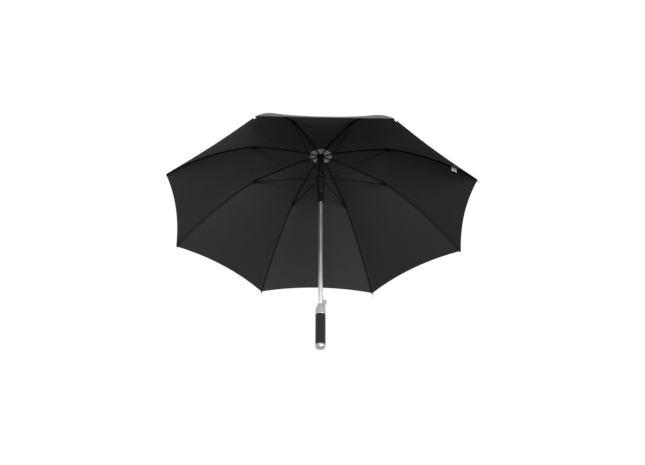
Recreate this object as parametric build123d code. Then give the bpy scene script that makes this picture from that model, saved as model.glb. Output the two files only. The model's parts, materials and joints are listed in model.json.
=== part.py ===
from build123d import *
import math
import os

# Automatic stick umbrella, open. Millimetres, +Z up the shaft.
# The origin is the middle of the foam grip. Each rib is drawn along +X, then turned to its place.
rib_count = 8
first_rib_deg = -67.5
rib_step_deg = 360 / rib_count

# shaft, and the levels that the rest hangs from
tip_plane = 426.5
shaft_radius = 7.0
shaft_bore = 6.1
shaft_bottom = -49.5
shaft_top = tip_plane + 268

# rib linkage: equal links, so the runner travels straight along the shaft
pivot_radius = 10.2
notch_pivot = tip_plane + 245.5
joint_radius = 239.0
joint_level = tip_plane + 206.5
joint_drop = 4.4
inner_bend_deg = 7.0
outer_bend_deg = 11.0
flex_reach = 9.0
canopy_radius = 525.0
fold_deg = 72.0

# rods, eyes, clips and pivots
rib_radius = 2.2
stretcher_radius = 1.9
eye_radius = 1.9
eye_width = 2.0
eye_hole = 0.7
eye_neck = 9.0
wire_radius = 0.6
slot_width = 2.6
slot_floor = 8.0
clip_half = 7.0
clip_wall = 0.8
clip_gap = 4.4
rivet_radius = 0.8
knuckle_gap = 0.3
knuckle_radius = 2.1
tip_length = 13.0
tip_radius = 2.6

# notch and runner
notch_radius = 12.5
sleeve_radius = 8.5
sleeve_length = 76.0
hub_radius = 13.5
runner_bore = 7.3
runner_radius = 12.0
neck_radius = 10.6
skirt_radius = 9.75
skirt_bore = 9.0
skirt_bottom = tip_plane + 53
skirt_top = tip_plane + 118
body_bottom = tip_plane + 91
body_top = tip_plane + 142

# spring drive
drive_level = tip_plane + 132
drive_pin = 1.5
drive_slot = 1.8
plunger_radius = 5.8
plunger_half = 6.0
seat_level = tip_plane - 296
seat_height = 6.0
spring_wire = 0.7
spring_radius = 4.5
spring_turns = 34

# handle
grip_half = 52.0
grip_radius = 15.75
core_radius = 12.0
core_top = 74.0
collar_radius = 16.0
collar_top = 76.5
collar_lip = 2.0
cap_radius = 15.1
cap_bottom = -61.5
cap_round = 4.0
housing_top = tip_plane - 322.5
lever_pivot_radius = 10.6
lever_pivot = tip_plane - 342
lever_half = 2.5
lever_pin_radius = 1.0
lever_slot_half = 3.3
lever_slot_top = tip_plane - 302

# canopy cloth
cloth = 0.5
canopy_gap = 4.8
canopy_stations = [8.0, 60.0, 150.0, 245.0, 340.0, 435.0, 525.0]
half_gore_deg = rib_step_deg / 2
gore_gap = 0.2
hem_reach_share = 0.83
lining_outer = 38.5
lining_inner = 14.0
ferrule_length = 58.0
ferrule_straight = 16.0
ferrule_radius = 8.5
spike_radius = 5.6
label_length = 20.0
label_drop = 15.0
label_aside = 4.6
label_place = 454.0


def at(x, z):
    return Vector(x, 0, z)


def rotated(shape, index):
    """Turn a shape drawn along +X to the place of one rib."""
    return Rot(0, 0, first_rib_deg + rib_step_deg * index) * shape


def column(radius, bottom, top):
    return Pos(0, 0, bottom) * Cylinder(radius, top - bottom, align=(Align.CENTER, Align.CENTER, Align.MIN))


def tube(outer, inner, bottom, top):
    return column(outer, bottom, top) - column(inner, bottom - 1, top + 1)


def cross_pin(point, radius, length):
    """A cylinder across the rib, centred on a point of its plane."""
    return Pos(point.X, 0, point.Z) * Rot(90, 0, 0) * Cylinder(radius, length)


def block(x0, x1, half_y, z0, z1):
    size = (x1 - x0, 2 * half_y, z1 - z0)
    return Pos((x0 + x1) / 2, 0, (z0 + z1) / 2) * Box(*size)


def ring(radius, wire, level):
    return Pos(0, 0, level) * Torus(radius, wire)


def bowed(start, end, bend_deg):
    """Centre and radius of the arc whose ends slope bend_deg off its chord."""
    chord = end - start
    radius = chord.length / (2 * math.sin(math.radians(bend_deg)))
    rise = radius * math.cos(math.radians(bend_deg))
    normal = Vector(chord.Z, 0, -chord.X).normalized()
    return (start + end) * 0.5 + normal * rise, radius


def on_arc(arc, radial):
    """The point of an arc at one distance from the shaft's axis."""
    centre, radius = arc
    return at(radial, centre.Z + math.sqrt(radius**2 - (radial - centre.X) ** 2))


def rod(arc, first, last, radius):
    """Round rod along an arc, between two distances from the axis."""
    start = on_arc(arc, first)
    end = on_arc(arc, last)
    path = ThreePointArc(start, on_arc(arc, (first + last) / 2), end)
    section = Plane(origin=start, z_dir=path % 0) * Circle(radius)
    return sweep(section, path)


root = at(pivot_radius, notch_pivot)
joint = at(joint_radius, joint_level)
tip = at(canopy_radius, tip_plane)
inner_arc = bowed(root, joint, inner_bend_deg)
joint_slope = math.atan2(joint_radius - inner_arc[0].X, joint_level - inner_arc[0].Z)
link = joint + at(-math.sin(joint_slope), -math.cos(joint_slope)) * joint_drop
flex = on_arc(inner_arc, joint_radius + flex_reach * math.cos(joint_slope))
outer_arc = bowed(flex, tip, outer_bend_deg)
hub_pivot = 2 * link.Z - notch_pivot
link_length = (link - root).length
link_slope = math.degrees(math.atan2(notch_pivot - link.Z, link.X - pivot_radius))
travel = 2 * link_length * (
    math.sin(math.radians(link_slope + fold_deg)) - math.sin(math.radians(link_slope))
)


def along(arc, radial, distance, lift=0.0):
    """A frame on an arc: X along the rod and outwards, Y across it, Z off it."""
    centre, radius = arc
    point = on_arc(arc, radial)
    off = (point - centre).normalized()
    run = Vector(off.Z, 0, -off.X)
    return Plane(origin=point + run * distance + off * lift, x_dir=run, z_dir=off)


def rib_inner():
    """Inner rod with its flat root eye and the round knuckle that it bends at."""
    root_frame = along(inner_arc, pivot_radius, 0)
    neck = Pos(eye_neck / 2, 0, 0) * Box(eye_neck, eye_width, 2 * eye_radius)
    neck_end = pivot_radius + eye_neck * 0.94
    body = rod(inner_arc, neck_end, flex.X, rib_radius) + root_frame * neck
    body += cross_pin(root, eye_radius, eye_width)
    body += Pos(flex.X, 0, flex.Z) * Sphere(knuckle_radius)
    return body - cross_pin(root, eye_hole, 2 * eye_width)


def rib_clip():
    """Channel pressed over the rod, its two ears hanging below it."""
    frame = along(inner_arc, joint_radius, 0)
    top = rib_radius + clip_wall
    bottom = -joint_drop - 2.6
    outer = Pos(0, 0, (top + bottom) / 2) * Box(2 * clip_half, clip_gap + 2 * clip_wall, top - bottom)
    inner = Pos(0, 0, (rib_radius + bottom) / 2 - 1) * Box(4 * clip_half, clip_gap, rib_radius - bottom + 2)
    return frame * (outer - inner) - cross_pin(link, rivet_radius, 4 * clip_gap)


def rib_outer():
    """Outer rod, its square end just clear of the knuckle."""
    return rod(outer_arc, flex.X + rib_radius + knuckle_gap, canopy_radius, rib_radius)


def rib_tip():
    """Metal ferrule and ball on the rod's end."""
    frame = along(outer_arc, canopy_radius, 0.2) * Rot(0, 90, 0)
    barrel = Cone(rib_radius, tip_radius * 0.7, tip_length, align=(Align.CENTER, Align.CENTER, Align.MIN))
    return frame * (barrel + Pos(0, 0, tip_length) * Sphere(tip_radius))


def stretcher():
    """Straight strut from the runner to the rib's clip."""
    hub = at(pivot_radius, hub_pivot)
    run = (link - hub).normalized()
    frame = Plane(origin=hub, x_dir=run, z_dir=Vector(-run.Z, 0, run.X))
    middle = (eye_neck + link_length) / 2
    body = frame * Pos(middle, 0, 0) * Rot(0, 90, 0) * Cylinder(stretcher_radius, link_length - eye_neck)
    body += frame * (Pos(eye_neck / 2, 0, 0) * Box(eye_neck + 0.4, eye_width, 2 * eye_radius))
    body += cross_pin(hub, eye_radius, eye_width)
    body += cross_pin(link, eye_radius - 0.1, clip_gap - 0.6)
    body -= cross_pin(hub, eye_hole, 2 * eye_width)
    return body - cross_pin(link, rivet_radius + 0.08, 3 * clip_gap)


def radial_slots(bottom, top):
    """Eight slots, from the slot floor outwards."""
    reach = hub_radius + 2
    slot = block(slot_floor, reach, slot_width / 2, bottom, top)
    return [rotated(slot, i) for i in range(rib_count)]


def top_notch():
    """Slotted crown moulding with the long sleeve that stops the runner."""
    bottom = notch_pivot - 5
    body = column(notch_radius, bottom, notch_pivot + 3.4)
    body += column(sleeve_radius, bottom - sleeve_length + 1, bottom)
    body -= column(shaft_radius, bottom - sleeve_length, notch_pivot + 6)
    for slot in radial_slots(bottom - 1, notch_pivot + 2.2):
        body -= slot
    return body - ring(pivot_radius, wire_radius, notch_pivot)


def runner_body():
    """Slotted hub and barrel that slides on the shaft."""
    body = column(hub_radius, hub_pivot - 6, hub_pivot + 5)
    body += column(neck_radius, body_top, hub_pivot - 6)
    body += fillet(column(runner_radius, body_bottom, body_top).edges().filter_by(GeomType.CIRCLE), 1.2)
    body -= column(runner_bore, body_bottom - 1, hub_pivot + 6)
    body -= column(skirt_radius, body_bottom - 1, skirt_top)
    for slot in radial_slots(hub_pivot - 2.2, hub_pivot + 6):
        body -= slot
    body -= ring(pivot_radius, wire_radius, hub_pivot)
    return body - Pos(0, 10, drive_level) * Rot(90, 0, 0) * Cylinder(drive_pin, 8)


def runner_skirt():
    """Metal sleeve below the barrel, with the window that the catch enters."""
    window = block(5, 14, 3.0, skirt_bottom + 6.4, skirt_bottom + 15.5)
    return tube(skirt_radius, skirt_bore, skirt_bottom, skirt_top) - window


def spring_plunger():
    """Plug inside the shaft, with the key that carries the runner."""
    plug = column(plunger_radius, drive_level - plunger_half, drive_level + plunger_half)
    key = Pos(0, 5.5, drive_level) * Rot(90, 0, 0) * Cylinder(drive_pin, 11)
    return plug + key


def opening_spring():
    bottom = seat_level + 1
    height = drive_level - plunger_half - 1 - bottom
    path = Pos(0, 0, bottom) * Helix(height / spring_turns, height, spring_radius)
    section = Plane(origin=path @ 0, z_dir=path % 0) * Circle(spring_wire)
    return sweep(section, path, is_frenet=True)


def shaft_tube():
    """Thin tube, with the key's slot at the back and the catch's slot at the side."""
    body = tube(shaft_radius, shaft_bore, shaft_bottom, shaft_top)
    low = drive_level - travel - drive_slot
    high = drive_level + drive_slot
    body -= Pos(0, shaft_radius, (low + high) / 2) * Box(2 * drive_slot, 2 * shaft_radius, high - low)
    return body - block(2, 9, lever_slot_half, lever_pivot - 4, lever_slot_top)


def ferrule():
    """Tapered spike over the shaft's end."""
    base = notch_pivot + 7.6
    shoulder = base + ferrule_straight
    taper = Pos(0, 0, shoulder) * Cone(ferrule_radius, spike_radius, ferrule_length - ferrule_straight,
                                       align=(Align.CENTER, Align.CENTER, Align.MIN))
    spike = fillet(taper.edges().filter_by(GeomType.CIRCLE).group_by(Axis.Z)[-1], 0.6 * spike_radius)
    return column(ferrule_radius, base, shoulder) + spike - column(shaft_radius, base - 1, shaft_top)


def crown_cap():
    """Dished washer that clamps the cloth to the notch."""
    base = notch_pivot + 5.4
    body = column(15, base, base + 1.2) + column(10, base, base + 2)
    return body - column(shaft_radius, base - 1, base + 3)


def crown_lining():
    """Round patch between the ribs and the cloth."""
    low = lining_level(lining_outer)
    high = lining_level(lining_inner)
    face = Polyline((lining_inner, 0, high), (lining_outer, 0, low), (lining_outer, 0, low + 0.4),
                    (lining_inner, 0, high + 0.4), close=True)
    return revolve(make_face(face), Axis.Z)


def lining_level(radial):
    return on_arc(inner_arc, radial).Z + rib_radius + 0.35


def canopy_line():
    """Heights of the cloth's underside along a rib."""
    line = []
    for radial in canopy_stations:
        arc = inner_arc if radial <= flex.X else outer_arc
        point = on_arc(arc, max(radial, pivot_radius + 1))
        steep = (point - arc[0]).normalized().Z
        line.append((radial, point.Z + canopy_gap / steep))
    line[0] = (line[0][0], notch_pivot + 4.0)
    line[1] = (line[1][0], line[1][1] - 0.4)
    return line


def canopy_section():
    """One rib's share of the cloth: flat panels out to the middle of each gore."""
    line = canopy_line()
    last = len(line) - 2
    panels = []
    for side in (1, -1):
        for i in range(last + 1):
            near, far = line[i], line[i + 1]
            points = [rib_point(near), rib_point(far)]
            points += [gore_point(far, side), gore_point(near, side)]
            if i == last:
                points[2] = points[3] + (points[2] - points[3]) * hem_reach_share
            panels.append(extrude(make_face(Polyline(*points, close=True)), cloth, dir=(0, 0, 1)))
    return panels[0].fuse(*panels[1:])


def rib_point(station):
    radial, level = station
    return Vector(radial, 0, level)


def gore_point(station, side):
    """The same level on the line midway to the next rib."""
    radial, level = station
    turn = math.radians(half_gore_deg)
    middle = radial * math.cos(turn)
    x = middle * math.cos(turn) + gore_gap * math.sin(turn)
    y = middle * math.sin(turn) - gore_gap * math.cos(turn)
    return Vector(x, side * y, level)


def care_label():
    """Small woven flap that hangs beside the rod."""
    frame = along(outer_arc, label_place, 0)
    return frame * Pos(0, -label_aside, -label_drop / 2) * Box(label_length, 0.4, label_drop)


def handle_core():
    return tube(core_radius, shaft_radius, shaft_bottom, core_top)


def collar():
    """Metal ring with a lip that closes in on the shaft."""
    body = tube(collar_radius, core_radius, grip_half + 0.3, core_top)
    body += tube(collar_radius, shaft_radius, core_top, collar_top)
    return fillet(body.edges().filter_by(GeomType.CIRCLE).group_by(SortBy.RADIUS)[-1], 0.8)


def end_cap():
    """Rounded metal cap with the plug that holds it in the tube."""
    body = column(cap_radius, cap_bottom, -grip_half)
    body = fillet(body.edges().filter_by(GeomType.CIRCLE).group_by(Axis.Z)[0], cap_round)
    return body + column(shaft_bore, -grip_half, shaft_bottom + 10)


def lever_housing():
    """Saddle on the collar, with the two cheeks that carry the release lever."""
    body = tube(10.5, shaft_radius, collar_top, lever_pivot + 5)
    body += block(7.6, 15, lever_slot_half + 1.3, collar_top, housing_top)
    body -= block(5, 20, lever_slot_half, collar_top - 1, housing_top + 1)
    body -= column(shaft_radius, collar_top - 1, housing_top + 1)
    return body - cross_pin(at(lever_pivot_radius, lever_pivot), lever_pin_radius, 30)


def release_lever():
    """Bottom-pivoted rocker: thumb piece outside, catch arm in the shaft's slot."""
    outline = [
        (lever_pivot_radius + 2.4, lever_pivot),
        (12.2, tip_plane - 335),
        (18.5, tip_plane - 333.4),
        (18.5, tip_plane - 321.6),
        (15.5, tip_plane - 320.4),
        (8.0, tip_plane - 320.4),
        (8.0, tip_plane - 313),
        (8.7, tip_plane - 312.3),
        (8.7, tip_plane - 309.5),
        (6.9, tip_plane - 305),
        (5.6, tip_plane - 305),
        (5.6, tip_plane - 330),
        (lever_pivot_radius - 2.4, lever_pivot),
    ]
    points = [(x, -lever_half, z) for x, z in outline]
    face = make_face(Polyline(*points, close=True))
    body = extrude(face, 2 * lever_half, dir=(0, 1, 0))
    body += cross_pin(at(lever_pivot_radius, lever_pivot), 2.4, 2 * lever_half)
    return body - cross_pin(at(lever_pivot_radius, lever_pivot), lever_pin_radius + 0.06, 30)


def save(shape, name):
    export_step(shape, f"parts/{name}.step")


os.makedirs("parts", exist_ok=True)
inner = rib_inner()
clip = rib_clip()
rivet = cross_pin(link, rivet_radius, clip_gap + 2 * clip_wall)
per_rib = {
    "rib_inner": inner,
    "rib_outer": rib_outer(),
    "rib_tip": rib_tip(),
    "stretcher": stretcher(),
    "canopy_section": canopy_section(),
}
for name, shape in per_rib.items():
    for i in range(rib_count):
        pieces = [shape, clip, rivet] if name == "rib_inner" else [shape]
        save(Compound([rotated(piece, i) for piece in pieces]), f"{name}_{i + 1}")

save(rotated(care_label(), 1), "care_label")
save(shaft_tube(), "shaft_tube")
save(ferrule(), "top_ferrule")
save(crown_cap(), "crown_cap")
save(crown_lining(), "crown_lining")
save(top_notch(), "top_notch")
save(ring(pivot_radius, wire_radius, notch_pivot), "notch_wire")
save(opening_spring(), "opening_spring")
save(column(shaft_bore, seat_level - seat_height, seat_level), "spring_seat")
save(spring_plunger(), "spring_plunger")
save(runner_body(), "runner_body")
save(runner_skirt(), "runner_skirt")
save(ring(pivot_radius, wire_radius, hub_pivot), "runner_wire")
save(handle_core(), "handle_core")
save(tube(grip_radius, core_radius, -grip_half, grip_half), "foam_grip")
save(collar(), "collar")
save(end_cap(), "end_cap")
save(lever_housing(), "lever_housing")
save(release_lever(), "release_lever")
lever_hinge = at(lever_pivot_radius, lever_pivot)
save(cross_pin(lever_hinge, lever_pin_radius, 2 * lever_slot_half + 2.6), "lever_pin")
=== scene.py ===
import json
import math
import bpy
import numpy as np
from mathutils import Matrix, Vector


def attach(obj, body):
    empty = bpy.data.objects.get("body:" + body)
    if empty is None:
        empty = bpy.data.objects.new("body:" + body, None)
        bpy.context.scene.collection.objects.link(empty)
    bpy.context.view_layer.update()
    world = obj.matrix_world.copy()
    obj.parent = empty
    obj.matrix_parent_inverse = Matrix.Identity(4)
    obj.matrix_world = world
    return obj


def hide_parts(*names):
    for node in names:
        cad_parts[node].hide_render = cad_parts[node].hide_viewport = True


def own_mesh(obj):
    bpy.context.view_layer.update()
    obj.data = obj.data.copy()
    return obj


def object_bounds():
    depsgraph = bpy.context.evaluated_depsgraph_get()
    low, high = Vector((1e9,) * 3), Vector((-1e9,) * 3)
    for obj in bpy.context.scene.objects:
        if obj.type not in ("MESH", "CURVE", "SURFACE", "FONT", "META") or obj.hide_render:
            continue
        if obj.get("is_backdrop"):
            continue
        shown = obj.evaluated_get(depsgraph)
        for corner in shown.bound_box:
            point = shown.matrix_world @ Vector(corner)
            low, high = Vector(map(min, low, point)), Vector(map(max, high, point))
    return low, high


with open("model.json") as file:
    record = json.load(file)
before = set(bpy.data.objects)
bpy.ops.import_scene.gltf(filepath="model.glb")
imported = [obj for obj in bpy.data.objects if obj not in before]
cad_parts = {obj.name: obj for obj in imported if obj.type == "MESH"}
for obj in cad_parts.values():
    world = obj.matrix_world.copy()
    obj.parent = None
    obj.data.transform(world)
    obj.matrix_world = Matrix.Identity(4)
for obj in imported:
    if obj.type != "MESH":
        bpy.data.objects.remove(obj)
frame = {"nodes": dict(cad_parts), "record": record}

# Automatic stick umbrella, open and seen from below. Sizes in the dictionaries are millimetres
# from the middle of the foam grip, +Z up the shaft. Blender itself works in metres.
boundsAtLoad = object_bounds()
nodes = frame["nodes"]
scene = bpy.context.scene
mm = 0.001
print("stage: frame loaded")


# turns an sRGB hex value to linear, with full alpha
def linearColour(text):
    parts = [int(text[i:i + 2], 16) / 255 for i in (0, 2, 4)]
    return [c / 12.92 if c <= 0.04045 else ((c + 0.055) / 1.055) ** 2.4 for c in parts] + [1.0]


# adds one node, with its settings and the sockets that feed it
def addNode(tree, kind, settings=None, links=None):
    node = tree.nodes.new(kind)
    for key, value in (settings or {}).items():
        if key in node.inputs:
            node.inputs[key].default_value = value
        else:
            setattr(node, key, value)
    for key, source in (links or {}).items():
        tree.links.new(source, node.inputs[key])
    return node


# an uneven pattern between two values, with the size of its patches along each axis
def unevenness(tree, pattern):
    where = addNode(tree, "ShaderNodeTexCoord")
    scale = [1 / (size * mm) for size in pattern["sizes"]]
    placed = addNode(tree, "ShaderNodeMapping", {"Scale": scale}, {"Vector": where.outputs["Object"]})
    noise = addNode(tree, "ShaderNodeTexNoise", {"Scale": 1.0, "Detail": pattern["detail"]},
                    {"Vector": placed.outputs["Vector"]})
    low, high = pattern["between"]  # noise lies mostly between 0.3 and 0.7
    spread = addNode(tree, "ShaderNodeMapRange",
                     {"From Min": 0.3, "From Max": 0.7, "To Min": low, "To Max": high},
                     {"Value": noise.outputs["Fac"]})
    return spread.outputs["Result"]


# a material from its dictionary: "rough" varies the roughness and "relief" raises the surface
def makeFinish(finish, height=None):
    material = bpy.data.materials.new(finish["name"])
    material.use_nodes = True
    tree = material.node_tree
    tree.nodes.clear()
    feeds = {}
    if "rough" in finish:
        feeds["Roughness"] = unevenness(tree, finish["rough"])
    if "relief" in finish:
        relief = finish["relief"]
        source = height(tree, finish) if height else unevenness(tree, relief)
        settings = {"Distance": relief["height"] * mm, "Strength": relief["strength"]}
        bump = addNode(tree, "ShaderNodeBump", settings, {"Height": source})
        feeds["Normal"] = bump.outputs["Normal"]
    shader = {"Base Color": linearColour(finish["colour"]), **finish["shader"]}
    surface = addNode(tree, "ShaderNodeBsdfPrincipled", shader, feeds)
    addNode(tree, "ShaderNodeOutputMaterial", None, {"Surface": surface.outputs["BSDF"]})
    return material


# Drawn and clear-anodised aluminium: fine draw lines up the tube stretch its highlights.
drawnAluminium = {
    "name": "drawnAnodisedAluminium", "colour": "e8e9eb",
    "shader": {"Metallic": 1.0, "Roughness": 0.3},
    "rough": {"sizes": (0.3, 0.3, 60), "detail": 3.0, "between": (0.24, 0.36)},
    "relief": {"sizes": (0.3, 0.3, 60), "detail": 2.0, "between": (0.0, 1.0),
               "height": 0.004, "strength": 0.3},
}

# Satin chrome plate on a spun cap: bright, with turning marks that soften the edge of a reflection.
chromePlate = {
    "name": "satinChromePlate", "colour": "b2b2b6",
    "shader": {"Metallic": 1.0, "Roughness": 0.2},
    "rough": {"sizes": (8, 8, 0.25), "detail": 2.0, "between": (0.16, 0.26)},
}

# Nickel plate on a turned tip: small and bright, slightly warm.
nickelPlate = {
    "name": "nickelPlatedTip", "colour": "cfccc6",
    "shader": {"Metallic": 1.0, "Roughness": 0.25},
    "rough": {"sizes": (1, 1, 1), "detail": 2.0, "between": (0.2, 0.34)},
}

# Black lacquer baked on steel: a thin dark coat with faint orange peel.
lacqueredSteel = {
    "name": "blackLacqueredSteel", "colour": "040405",
    "shader": {"Roughness": 0.5, "Specular IOR Level": 0.04},
    "relief": {"sizes": (1.5, 1.5, 1.5), "detail": 2.0, "between": (0.0, 1.0),
               "height": 0.02, "strength": 0.2},
}

# Pultruded fibreglass rod: black resin, with the lengthwise glass just showing as dull streaks.
fibreglassRod = {
    "name": "blackPultrudedFibreglass", "colour": "040405",
    "shader": {"Roughness": 0.5, "Specular IOR Level": 0.04},
    "rough": {"sizes": (6, 6, 0.8), "detail": 3.0, "between": (0.38, 0.52)},
}

# Moulded black nylon: an even low sheen with a fine spark texture.
mouldedNylon = {
    "name": "mouldedBlackNylon", "colour": "050506",
    "shader": {"Roughness": 0.5, "Specular IOR Level": 0.08},
    "relief": {"sizes": (0.35, 0.35, 0.35), "detail": 3.0, "between": (0.0, 1.0),
               "height": 0.02, "strength": 0.35},
}

# Oil-tempered spring wire: dark grey steel with a blued film.
springWire = {
    "name": "oilTemperedWire", "colour": "6a6c70",
    "shader": {"Metallic": 1.0, "Roughness": 0.35},
    "rough": {"sizes": (2, 2, 2), "detail": 2.0, "between": (0.3, 0.42)},
}

# Ground closed-cell foam: matte, with open pores where the skin was ground off.
groundFoam = {
    "name": "groundEvaFoam", "colour": "0a0a0c",
    "shader": {"Roughness": 0.85, "Specular IOR Level": 0.06, "Sheen Weight": 0.05, "Sheen Roughness": 0.5},
    "relief": {"pore": 0.8, "height": 0.12, "strength": 0.55},
}


def foamPores(tree, finish):
    where = addNode(tree, "ShaderNodeTexCoord")
    scale = [1 / (finish["relief"]["pore"] * mm)] * 3
    placed = addNode(tree, "ShaderNodeMapping", {"Scale": scale}, {"Vector": where.outputs["Object"]})
    cells = addNode(tree, "ShaderNodeTexVoronoi", {"Scale": 1.0}, {"Vector": placed.outputs["Vector"]})
    return cells.outputs["Distance"]


# Pongee, a plain-woven polyester dyed black: a faint silky sheen, dulled in soft patches. The weave
# is far finer than a thread, so it shows only as an even softening of the sheen.
pongeeCloth = {
    "name": "blackPongeePolyester", "colour": "100e10",
    "shader": {"Roughness": 0.6, "Specular IOR Level": 0.07, "Sheen Weight": 0.03, "Sheen Roughness": 0.35},
    "rough": {"sizes": (40, 40, 40), "detail": 2.0, "between": (0.54, 0.66)},
    "relief": {"repeat": 1000.0, "bands": 0.6, "height": 0.02, "strength": 0.3},
}


def clothWeave(tree, finish):
    where = addNode(tree, "ShaderNodeTexCoord")
    relief = finish["relief"]
    placed = addNode(tree, "ShaderNodeMapping", {"Scale": [relief["repeat"]] * 3},
                     {"Vector": where.outputs["UV"]})
    threads = [addNode(tree, "ShaderNodeTexWave", {"bands_direction": way, "Scale": relief["bands"]},
                       {"Vector": placed.outputs["Vector"]}) for way in ("X", "Y")]
    weave = addNode(tree, "ShaderNodeMath", {"operation": "MAXIMUM"},
                    {i: thread.outputs["Fac"] for i, thread in enumerate(threads)})
    return weave.outputs["Value"]


# Woven grey lining: coarser and lighter than the cloth above it.
liningCloth = {
    "name": "greyWovenLining", "colour": "444446",
    "shader": {"Roughness": 0.8, "Sheen Weight": 0.1},
    "relief": {"sizes": (0.6, 0.6, 0.6), "detail": 3.0, "between": (0.0, 1.0),
               "height": 0.05, "strength": 0.4},
}

# White satin tape: long floats give one soft, bright sheen.
satinTape = {
    "name": "whiteSatinTape", "colour": "e6e6e4",
    "shader": {"Roughness": 0.45, "Sheen Weight": 0.2},
    "relief": {"sizes": (0.2, 2, 0.2), "detail": 2.0, "between": (0.0, 1.0),
               "height": 0.02, "strength": 0.2},
}

finishes = {
    "shaft": makeFinish(drawnAluminium),
    "chrome": makeFinish(chromePlate),
    "tip_metal": makeFinish(nickelPlate),
    "black_steel": makeFinish(lacqueredSteel),
    "fibreglass": makeFinish(fibreglassRod),
    "black_plastic": makeFinish(mouldedNylon),
    "spring_steel": makeFinish(springWire),
    "foam": makeFinish(groundFoam, foamPores),
    "canopy": makeFinish(pongeeCloth, clothWeave),
    "lining": makeFinish(liningCloth),
    "label": makeFinish(satinTape),
}
slotOf = {part["node"]: part["material_slot"] for part in frame["record"]["subparts"]}
for name, obj in nodes.items():
    obj.data.materials.clear()
    obj.data.materials.append(finishes[slotOf[name]])
print("stage: materials")

# the ribs: each is two bowed rods, given by (distance from the axis, height) of their ends
rib = {
    "count": 8, "firstAngle": -67.5,
    "root": (10.2, 672.0), "joint": (239.0, 633.0), "flex": (247.622, 630.373), "tip": (525.0, 426.5),
    "innerBend": 7.0, "outerBend": 11.0,
}
ribAngles = [math.radians(rib["firstAngle"] + 360 / rib["count"] * k) for k in range(rib["count"])]
halfGore = math.radians(180 / rib["count"])


# centre and radius of the arc whose ends slope by the bend off its chord
def bow(start, end, bend):
    dx = end[0] - start[0]
    dz = end[1] - start[1]
    length = math.hypot(dx, dz)
    radius = length / (2 * math.sin(math.radians(bend)))
    rise = radius * math.cos(math.radians(bend))
    x = (start[0] + end[0]) / 2 + dz / length * rise
    z = (start[1] + end[1]) / 2 - dx / length * rise
    return x, z, radius


innerArc = bow(rib["root"], rib["joint"], rib["innerBend"])
outerArc = bow(rib["flex"], rib["tip"], rib["outerBend"])


def rodHeight(r):
    x, z, radius = innerArc if r <= rib["flex"][0] else outerArc
    return z + math.sqrt(radius ** 2 - (max(r, rib["root"][0]) - x) ** 2)


# how the cloth lies: on the rods, over the clips, up to the crown washer, and sagging in each gore
cloth = {
    "lift": 3.5, "ease": 26.0, "step": 6.0, "inside": 11.0, "outside": 530.0,
    "clipLift": 1.1, "clipReach": 30.0,
    "crownHeight": 676.2, "crownStart": 40.0, "crownEnd": 16.0,
    "sag": 16.0, "sagStart": 45.0, "sagLength": 515.0,
}


def clothHeight(r):
    inside, outside, step = cloth["inside"], cloth["outside"], cloth["step"]
    ease = cloth["ease"] if abs(r - rib["flex"][0]) < cloth["ease"] else step  # softens the rods' corner
    beside = rodHeight(max(r - ease / 2, inside)) + rodHeight(min(r + ease / 2, outside))
    slope = (rodHeight(min(r + step, outside)) - rodHeight(max(r - step, inside))) / (2 * step)
    height = 0.5 * rodHeight(r) + 0.25 * beside + cloth["lift"] * math.sqrt(1 + slope * slope)
    pastClip = abs(r - rib["joint"][0]) / cloth["clipReach"]
    if pastClip < 1:
        height += cloth["clipLift"] * (0.5 + 0.5 * math.cos(math.pi * pastClip))
    if r < cloth["crownStart"]:
        share = min(1.0, (cloth["crownStart"] - r) / (cloth["crownStart"] - cloth["crownEnd"]))
        height += (cloth["crownHeight"] - height) * share * share * (3 - 2 * share)
    return height


# the cloth at distance r along one rib, s of the way (-1 to 1) to the middle of the gore beside it
def clothPoint(r, s):
    aside = abs(s)
    middle = r * math.cos(halfGore)
    x = r + aside * (middle * math.cos(halfGore) - r)
    y = aside * middle * math.sin(halfGore)
    span = max(0.0, min(1.0, (r - cloth["sagStart"]) / cloth["sagLength"]))
    sag = cloth["sag"] * math.sin(math.pi * span) * (1 - (1 - aside) ** 2)
    return Vector((x, math.copysign(y, s), clothHeight(r) - sag))


def meshObject(name, points, faces, material, uvs=None, smooth=True):
    mesh = bpy.data.meshes.new(name)
    mesh.from_pydata([tuple(p) for p in points], [], faces)
    mesh.update()
    if uvs is not None:
        layer = mesh.uv_layers.new(name="threads")
        for loop in mesh.loops:
            layer.data[loop.index].uv = uvs[loop.vertex_index]
    for polygon in mesh.polygons:
        polygon.use_smooth = smooth
    mesh.materials.append(material)
    obj = bpy.data.objects.new(name, mesh)
    scene.collection.objects.link(obj)
    return obj


# turns a closed mesh the right way out, judged by its volume
def faceOutwards(obj):
    mesh = obj.data
    volume = 0.0
    for polygon in mesh.polygons:
        corners = [mesh.vertices[i].co for i in polygon.vertices]
        for i in range(1, len(corners) - 1):
            volume += corners[0].dot(corners[i].cross(corners[i + 1]))
    if volume < 0:
        mesh.flip_normals()


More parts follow.
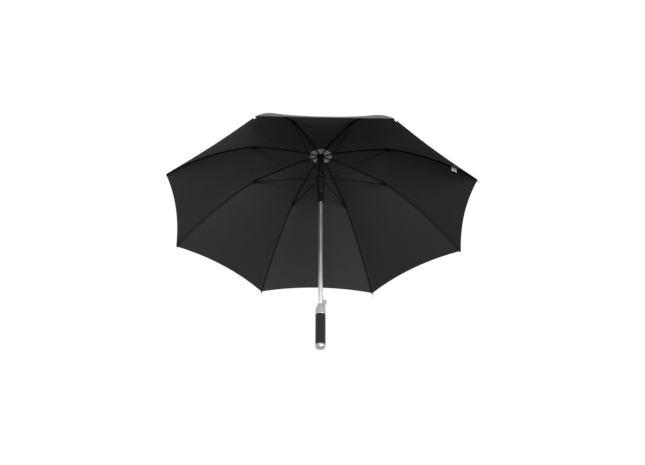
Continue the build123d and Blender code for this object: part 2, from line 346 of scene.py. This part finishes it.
# a closed sheet from rows of points: those points below, a face one thickness above, and the edges
def thickSheet(name, grid, thickness, material, uvs):
    rows = len(grid)
    cols = len(grid[0])
    low = np.array([[tuple(p) for p in row] for row in grid])
    normal = np.cross(np.gradient(low, axis=0), np.gradient(low, axis=1))
    normal /= np.linalg.norm(normal, axis=2, keepdims=True)
    normal *= np.where(normal[..., 2:] < 0, -1, 1)
    high = low + normal * np.array(thickness).reshape(-1, 1, 1)
    points = np.concatenate([low.reshape(-1, 3), high.reshape(-1, 3)])
    above = rows * cols
    faces = []
    for i in range(rows - 1):
        for j in range(cols - 1):
            a = i * cols + j
            d = a + cols
            faces.append((a, a + 1, d + 1, d))
            faces.append((a + above, d + above, d + 1 + above, a + 1 + above))
    edge = [(0, j) for j in range(cols)] + [(i, cols - 1) for i in range(1, rows)]
    edge += [(rows - 1, j) for j in range(cols - 2, -1, -1)] + [(i, 0) for i in range(rows - 2, 0, -1)]
    ring = [i * cols + j for i, j in edge]
    for a, b in zip(ring, ring[1:] + ring[:1]):
        faces.append((b, a, a + above, b + above))
    obj = meshObject(name, points, faces, material, list(uvs) * 2)
    faceOutwards(obj)
    obj.data.set_sharp_from_angle(angle=math.radians(50))  # keeps the hem's edge from shading the face
    return obj


def turned(grid, angle):
    turn = Matrix.Rotation(angle, 4, "Z")
    return [[turn @ p * mm for p in row] for row in grid]


# the canopy: an inner and an outer sheet on each rib, overlapping a little where the rib bends
canopy = {
    "thick": 0.35, "hemThick": 0.45, "hemStart": 0.968, "hemSteps": (0.034, 0.031),
    "start": 8.2, "dip": 15.2, "lap": 8.1, "lapLift": 0.36, "columns": 12, "rows": 30,
    "innerKeep": 0.21, "outerKeep": 0.17, "pleatOut": 200, "pleatUp": 600,
    "spareWidth": 1.06, "spareLength": 1.02, "leastArea": 0.3,
}


# where a line across the gore meets the ring at which the ribs bend
def bendRing(s):
    return rib["flex"][0] / (1 - (1 - math.cos(halfGore) ** 2) * abs(s))


def clothGrid(outer):
    columns = canopy["columns"]
    shares = [i / canopy["rows"] for i in range(canopy["rows"] + 1)]
    if outer:
        shares = sorted(set(shares[:-1] + [1 - step for step in canopy["hemSteps"]] + [1.0]))
    grid = []
    uvs = []
    for share in shares:
        line = []
        for s in [j / columns for j in range(-columns, columns + 1)]:
            first = canopy["start"]
            last = bendRing(s)
            if outer:
                first = last - canopy["lap"]
                last = rib["tip"][0] - canopy["dip"] * (1 - (1 - abs(s)) ** 2)
            r = first + (last - first) * share
            point = clothPoint(r, s)
            if outer and share < 0.5:
                point.z += canopy["lapLift"] * (1 - 2 * share)
            line.append(point)
            uvs.append((point.y, r))
        grid.append(line)
    hemmed = [outer and share > canopy["hemStart"] for share in shares]
    return grid, [(canopy["hemThick"] if hem else canopy["thick"]) * mm for hem in hemmed], uvs


def canopySheet(k, outer):
    side = "outer" if outer else "inner"
    grid, thickness, uvs = clothGrid(outer)
    placed = turned(grid, ribAngles[k])
    sheet = thickSheet(f"canopy_{side}_{k + 1}", placed, thickness, finishes["canopy"], uvs)
    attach(sheet, f"rib_{side}_{k + 1}")
    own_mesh(sheet)
    if outer:
        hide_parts(f"canopy_section_{k + 1}")


for k in range(rib["count"]):
    canopySheet(k, outer=False)
    canopySheet(k, outer=True)
print("stage: canopy")

# the lining: a disc under the cloth at the crown, in one sector for each rib
lining = {
    "inner": 13.4, "outer": 38.5, "thick": 0.3, "lift": 2.5, "columns": 6, "rows": 8,
    "keep": 0.3, "pleatOut": 20, "pleatUp": 670, "flat": (0.0305, 0.0265), "leastArea": 0.3,
}


def liningSector(k):
    grid = []
    uvs = []
    for i in range(lining["rows"] + 1):
        r = lining["inner"] + (lining["outer"] - lining["inner"]) * i / lining["rows"]
        turns = [halfGore * j / lining["columns"] for j in range(-lining["columns"], lining["columns"] + 1)]
        height = rodHeight(r) + lining["lift"]
        grid.append([Vector((r * math.cos(turn), r * math.sin(turn), height)) for turn in turns])
        uvs += [(r * turn, r) for turn in turns]
    placed = turned(grid, ribAngles[k])
    sector = thickSheet(f"lining_{k + 1}", placed, lining["thick"] * mm, finishes["lining"], uvs)
    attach(sector, f"rib_inner_{k + 1}")
    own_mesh(sector)
    if k == 0:
        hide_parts("crown_lining")


for k in range(rib["count"]):
    liningSector(k)
print("stage: lining")

# the care label: a blank flap of satin tape, sewn in by its top edge beside one rib
label = {
    "rib": 1, "length": 20.0, "drop": 15.0, "thick": 0.3, "place": 454.0, "slope": 40.0, "top": 1.0,
    "gap": 3.4, "curl": 1.8, "curlInner": 0.6, "curlOuter": 0.4, "curlSteps": 10, "steps": 8,
    "flat": (0.0155, 0.0205),
}


def labelGrid():
    steps = label["steps"]
    grid = []
    uvs = []
    for i in range(steps + 1):
        r = label["place"] + label["length"] * (i / steps - 0.5) * math.cos(math.radians(label["slope"]))
        curl = label["curl"] * (label["curlInner"] + label["curlOuter"] * i / steps)
        line = []
        for j in range(steps + 1):
            aside = label["gap"] + curl * math.sin(math.pi * j / label["curlSteps"])
            hang = label["drop"] * j / steps
            line.append(Vector((r, -aside, rodHeight(r) + label["top"] - hang)))
            uvs.append((hang, r))
        grid.append(line)
    return grid, uvs


grid, uvs = labelGrid()
placed = turned(grid, ribAngles[label["rib"]])
tape = thickSheet("care_label_tape", placed, label["thick"] * mm, finishes["label"], uvs)
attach(tape, "rib_outer_2")
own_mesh(tape)
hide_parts("care_label")
print("stage: label")

# the grip: a turned foam tube, gently waisted, its ends rolled in where it meets the metal
foam = {
    "radius": 15.75, "bore": 12.0, "half": 52.0, "roll": 1.4, "rollSteps": 6,
    "waist": 0.06, "waistLength": 52.0, "levels": 24, "around": 96, "fill": 0.95,
}


def foamProfile():
    half, roll, levels = foam["half"], foam["roll"], foam["levels"]
    end = [(foam["bore"], -half)]
    for i in range(foam["rollSteps"] + 1):
        turn = math.pi / 2 * i / foam["rollSteps"]
        end.append((foam["radius"] - roll * (1 - math.sin(turn)), -half + roll * (1 - math.cos(turn))))
    side = []
    for i in range(1, levels):
        z = -half + roll + 2 * (half - roll) * i / levels
        waist = foam["waist"] * (1 - math.cos(2 * math.pi * z / foam["waistLength"]))
        side.append((foam["radius"] - waist, z))
    return end + side + [(r, -z) for r, z in reversed(end)]


def foamGrip():
    count = foam["around"]
    profile = foamProfile()
    turns = [2 * math.pi * j / count for j in range(count)]
    points = [Vector((r * math.cos(turn), r * math.sin(turn), z)) * mm for r, z in profile for turn in turns]
    faces = []
    for i in range(len(profile)):
        row = i * count
        following = (i + 1) % len(profile) * count
        for j in range(count):
            beside = (j + 1) % count
            faces.append((row + j, row + beside, following + beside, following + j))
    grip = meshObject("foam_grip_turned", points, faces, finishes["foam"])
    faceOutwards(grip)
    return grip


grip = foamGrip()
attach(grip, "root")
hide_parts("foam_grip")
print("stage: grip")

# the opening spring inside the shaft, built as one fixed coil; the real spring shortens onto its seat as the
# runner comes down
spring = {
    "turns": 34, "radius": 4.5, "wire": 0.7, "low": 131.5, "high": 551.5, "perTurn": 24, "around": 8,
    "seat": 130.5, "closedShare": 0.125,
}


def springCoil():
    around = spring["around"]
    steps = spring["turns"] * spring["perTurn"]
    points = []
    for i in range(steps + 1):
        turn = 2 * math.pi * i / spring["perTurn"]
        z = spring["low"] + (spring["high"] - spring["low"]) * i / steps
        outwards = Vector((math.cos(turn), math.sin(turn), 0))
        for j in range(around):
            lean = 2 * math.pi * j / around
            reach = spring["radius"] + spring["wire"] * math.cos(lean)
            points.append((outwards * reach + Vector((0, 0, z + spring["wire"] * math.sin(lean)))) * mm)
    faces = []
    for i in range(steps):
        for j in range(around):
            a = i * around + j
            b = i * around + (j + 1) % around
            faces.append((a, b, b + around, a + around))
    faces.append(tuple(range(around)))
    faces.append(tuple(steps * around + j for j in reversed(range(around))))
    coil = meshObject("opening_spring_coil", points, faces, finishes["spring_steel"])
    faceOutwards(coil)
    return coil


coil = springCoil()
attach(coil, "root")
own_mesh(coil)
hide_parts("opening_spring")
print("stage: spring")

# the studio, in metres: a wide pale floor well below the umbrella and an even white surround
studio = {"reach": 60.0, "level": -2.4, "surround": 1.0}
paintedFloor = {"name": "palePaintedFloor", "colour": "c6c6c4", "shader": {"Roughness": 0.8}}
flagCloth = {"name": "blackFlagCloth", "colour": "101010", "shader": {"Roughness": 0.9}}


def stageCard(name, corners, finish):
    card = meshObject(name, corners, [(0, 1, 2, 3)], makeFinish(finish), smooth=False)
    card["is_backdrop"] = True


reach = studio["reach"]
stageCard("floor", [(x, y, studio["level"]) for x, y in
                    ((-reach, -reach), (reach, -reach), (reach, reach), (-reach, reach))], paintedFloor)

world = bpy.data.worlds.new("softStudio")
scene.world = world
world.use_nodes = True
world.node_tree.nodes.clear()
surround = addNode(world.node_tree, "ShaderNodeBackground",
                   {"Color": (1, 1, 1, 1), "Strength": studio["surround"]})
addNode(world.node_tree, "ShaderNodeOutputWorld", None, {"Surface": surround.outputs["Background"]})

softboxes = {
    "rightSoftbox": {"place": (1.9, -2.2, -0.5), "target": (0, 0, 0.1), "size": (0.8, 2.2), "watts": 90},
    "frontSoftbox": {"place": (0.3, -3.3, -0.7), "target": (0, 0.4, 0.5), "size": (1.4, 0.8), "watts": 520},
    "topSoftbox": {"place": (-0.6, -1.4, 3.0), "target": (0, 0, 0.6), "size": (2.0, 1.2), "watts": 110},
}


def softLight(name, box):
    light = bpy.data.lights.new(name, "AREA")
    light.shape = "RECTANGLE"
    light.size, light.size_y = box["size"]
    light.energy = box["watts"]
    obj = bpy.data.objects.new(name, light)
    obj.location = box["place"]
    aim = Vector(box["target"]) - Vector(box["place"])
    obj.rotation_euler = aim.to_track_quat("-Z", "Y").to_euler()
    scene.collection.objects.link(obj)
    obj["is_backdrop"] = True


for name, box in softboxes.items():
    softLight(name, box)

# a black card on the left gives the bright metal its dark side
flag = {"near": (-1.5, -2.2), "far": (-2.3, -0.7), "bottom": -1.3, "top": 0.5}
stageCard("flag", [(*flag["near"], flag["bottom"]), (*flag["far"], flag["bottom"]),
                   (*flag["far"], flag["top"]), (*flag["near"], flag["top"])], flagCloth)

# the camera, below and in front of the canopy, looking up
view = {"place": (-0.0788, -2.9506, -1.6765), "pitch": 34.61, "yaw": 1.65, "lens": 62.1, "sensor": 36}
camera = bpy.data.cameras.new("camera")
camera.lens = view["lens"]
camera.sensor_width = view["sensor"]
cameraObject = bpy.data.objects.new("camera", camera)
cameraObject.location = view["place"]
turnAside = Matrix.Rotation(math.radians(-view["yaw"]), 3, "Z")
tiltUp = Matrix.Rotation(math.radians(90 + view["pitch"]), 3, "X")
cameraObject.rotation_euler = (turnAside @ tiltUp).to_euler()
scene.collection.objects.link(cameraObject)
scene.camera = cameraObject
scene.view_settings.view_transform = "Standard"
print("stage: light and camera")


def plain(value):
    return [plain(v) for v in value] if hasattr(value, "__len__") else float(value)


{"load": plain(boundsAtLoad), "finish": plain(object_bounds())}
